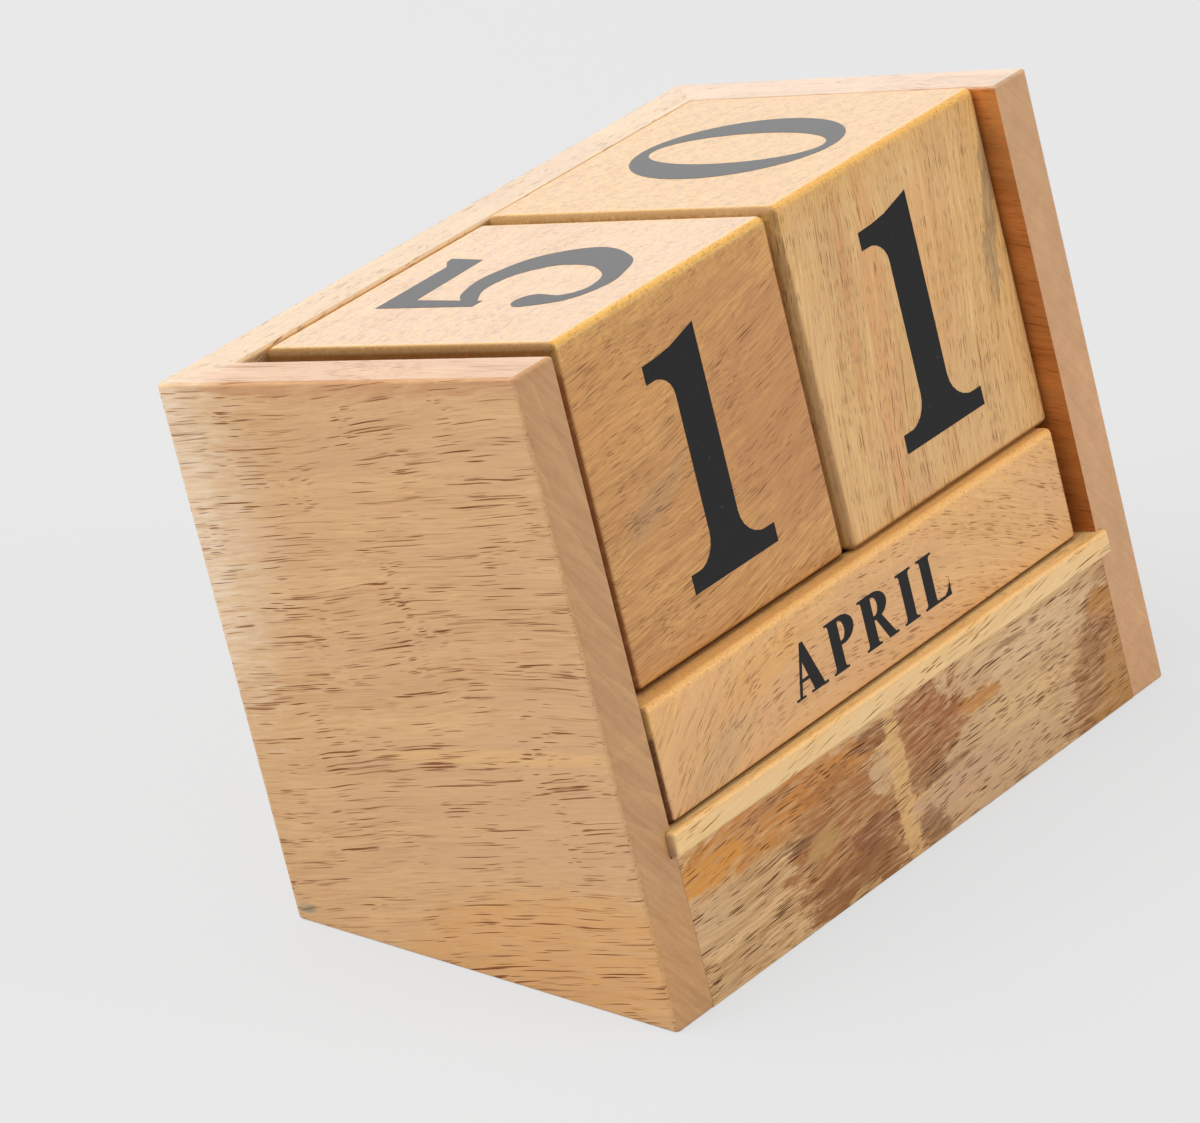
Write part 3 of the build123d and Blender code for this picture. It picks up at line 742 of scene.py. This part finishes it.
cubeTexts = {
    "left_cube": {"front": "1", "top": "5", "right": "2", "back": "3", "left": "4", "bottom": "0"},
    "right_cube": {"front": "1", "top": "0", "right": "7", "back": "8", "left": "6", "bottom": "2"},
}
barTexts = {
    "front_bar": {"front": "APRIL", "top": "MARCH", "rolledBack": "FEBRUARY", "bottom": "JANUARY"},
    "middle_bar": {"front": "AUGUST", "top": "MAY", "rolledBack": "JUNE", "bottom": "JULY"},
    "rear_bar": {"front": "DECEMBER", "top": "SEPTEMBER", "rolledBack": "OCTOBER", "bottom": "NOVEMBER"},
}
cubeNodes = {"left_cube": "day_cube_left", "right_cube": "day_cube_right"}
barNodes = {"front_bar": "month_bar_front", "middle_bar": "month_bar_middle", "rear_bar": "month_bar_rear"}
for body, texts in cubeTexts.items():
    printBlock("numerals_" + body, cubeNodes[body], body, texts, numerals,
               printing["numeralHeight"], printing["numeralShift"])
for body, texts in barTexts.items():
    printBlock("month_names_" + body, barNodes[body], body, texts, capitals,
               printing["capitalHeight"], printing["capitalShift"],
               turn=frontBarTurn if body == "front_bar" else 0.0)
print("lettering: five blocks printed")


cameraValues = {
    "azimuth": -53.39, "elevation": 25.45, "roll": -2.87,       # degrees
    "aim": (-0.030805, -0.009458, 0.048320), "distance": 0.95942, "nearest": 0.01,      # metres
    "lens": 218.93, "sensorWidth": 36,                          # millimetres
}
azimuth, elevation, roll = [math.radians(cameraValues[k]) for k in ("azimuth", "elevation", "roll")]
backwards = Vector((math.sin(azimuth) * math.cos(elevation), -math.cos(azimuth) * math.cos(elevation),
                    math.sin(elevation)))
rightwards = Vector((math.cos(azimuth), math.sin(azimuth), 0))
viewAxes = Matrix((rightwards, backwards.cross(rightwards), backwards)).transposed()
bpy.ops.object.camera_add(
    location=Vector(cameraValues["aim"]) + backwards * cameraValues["distance"],
    rotation=(viewAxes @ Matrix.Rotation(roll, 3, "Z")).to_euler())
camera = bpy.context.object
camera.data.lens = cameraValues["lens"]
camera.data.sensor_width = cameraValues["sensorWidth"]
camera.data.sensor_fit = "HORIZONTAL"
camera.data.clip_start = cameraValues["nearest"]
camera.data.dof.use_dof = False
bpy.context.scene.camera = camera


studio = {
    "backdrop": "#E8E8E8", "floor": "#C0C0C0", "floorShadow": 0.2,
    "skyLight": 0.5, "floorSize": 12.0,
    "lampAim": (0, 0, 0.045),                    # metres, about the middle of the calendar
}
lamps = {  # place in metres, size in metres, power in watts
    "overhead_softbox": {"place": (-0.25, 0.45, 1.15), "size": 0.9, "power": 15},
    "left_softbox": {"place": (-1.2, 0.45, 0.65), "size": 0.8, "power": 6},
    "front_softbox": {"place": (0.6, -1.35, 0.75), "size": 0.9, "power": 11},
    "rear_reflector": {"place": (0.85, 0.80, 0.22), "size": 0.7, "power": 2.4},
}

bpy.ops.object.select_all(action="DESELECT")
bpy.ops.mesh.primitive_plane_add(size=studio["floorSize"], location=(0, 0, cadBox[0].z))
floor = bpy.context.object
floor.name = "floor"
floorMaterial, floorTree = newMaterial("matt_paper_floor")
cameraRay = addNode(floorTree, "LightPath", {}, "Is Camera Ray")
paper = addNode(floorTree, "BsdfDiffuse", {"Color": studio["floor"]})
glow = addNode(floorTree, "Emission", {"Color": studio["backdrop"]})
shown = addNode(floorTree, "Math", {0: cameraRay, 1: 1 - studio["floorShadow"]}, operation="MULTIPLY")
floorSurface = addNode(floorTree, "MixShader", {0: shown, 1: paper, 2: glow})
addNode(floorTree, "OutputMaterial", {"Surface": floorSurface})
floor.data.materials.append(floorMaterial)

world = bpy.data.worlds.new("studio")
bpy.context.scene.world = world
world.use_nodes = True
skyTree = world.node_tree
skyTree.nodes.clear()
skyRays = addNode(skyTree, "LightPath", {}).node.outputs
mirrored = addNode(skyTree, "Math", {
    0: skyRays["Is Glossy Ray"], 1: skyRays["Is Transmission Ray"]}, operation="MAXIMUM")
seen = addNode(skyTree, "Math", {0: skyRays["Is Camera Ray"], 1: mirrored}, operation="MAXIMUM")
softLight = addNode(skyTree, "Background", {"Color": (1, 1, 1, 1), "Strength": studio["skyLight"]})
backdrop = addNode(skyTree, "Background", {"Color": studio["backdrop"]})
sky = addNode(skyTree, "MixShader", {0: seen, 1: softLight, 2: backdrop})
addNode(skyTree, "OutputWorld", {"Surface": sky})

for name, lamp in lamps.items():
    aim = Vector(studio["lampAim"]) - Vector(lamp["place"])
    bpy.ops.object.light_add(
        type="AREA", location=lamp["place"], rotation=aim.to_track_quat("-Z", "Y").to_euler())
    bpy.context.object.name = name
    bpy.context.object.data.size = lamp["size"]
    bpy.context.object.data.energy = lamp["power"]

bpy.context.scene.view_settings.view_transform = "Standard"
print("studio: floor, sky and", len(lamps), "lamps")
